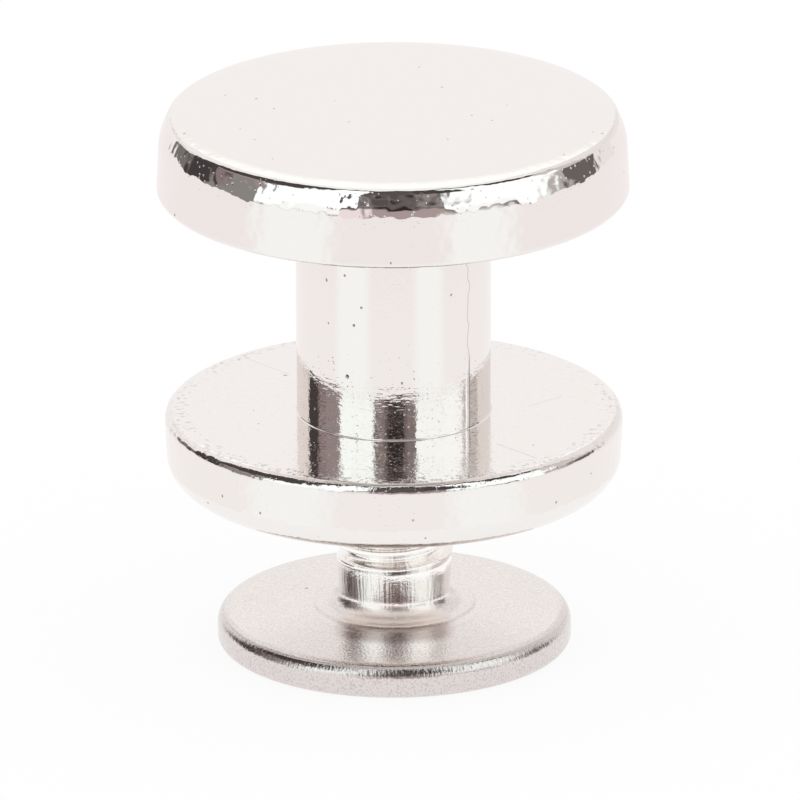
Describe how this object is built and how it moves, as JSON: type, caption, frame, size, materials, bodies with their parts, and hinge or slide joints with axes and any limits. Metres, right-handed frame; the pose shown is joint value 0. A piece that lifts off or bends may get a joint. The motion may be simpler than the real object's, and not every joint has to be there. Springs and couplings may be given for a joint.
{
  "type": "screw back stud",
  "caption": "Round flat-capped strap stud on a short neck with a base flange, fixed through leather from behind by a thin-headed screw.",
  "frame": {"origin": "centre of the underside of the screw's head, on the part's axis", "axes": "+Z along the axis, from the screw's head up to the stud's cap; the driver slot runs along X"},
  "size_m": [0.012, 0.012, 0.0142],
  "materials": {
    "polished_zinc": "polished",
    "satin_steel": "satin"
  },
  "bodies": {
    "screw": {"screw": "satin_steel"},
    "stud": {"stud": "polished_zinc"}
  },
  "joints": [
    {"name": "unscrew", "type": "slide", "parent": "screw", "child": "stud", "axis": [0, 0, 1], "range_m": [-0.00213, 0.008]}
  ]
}
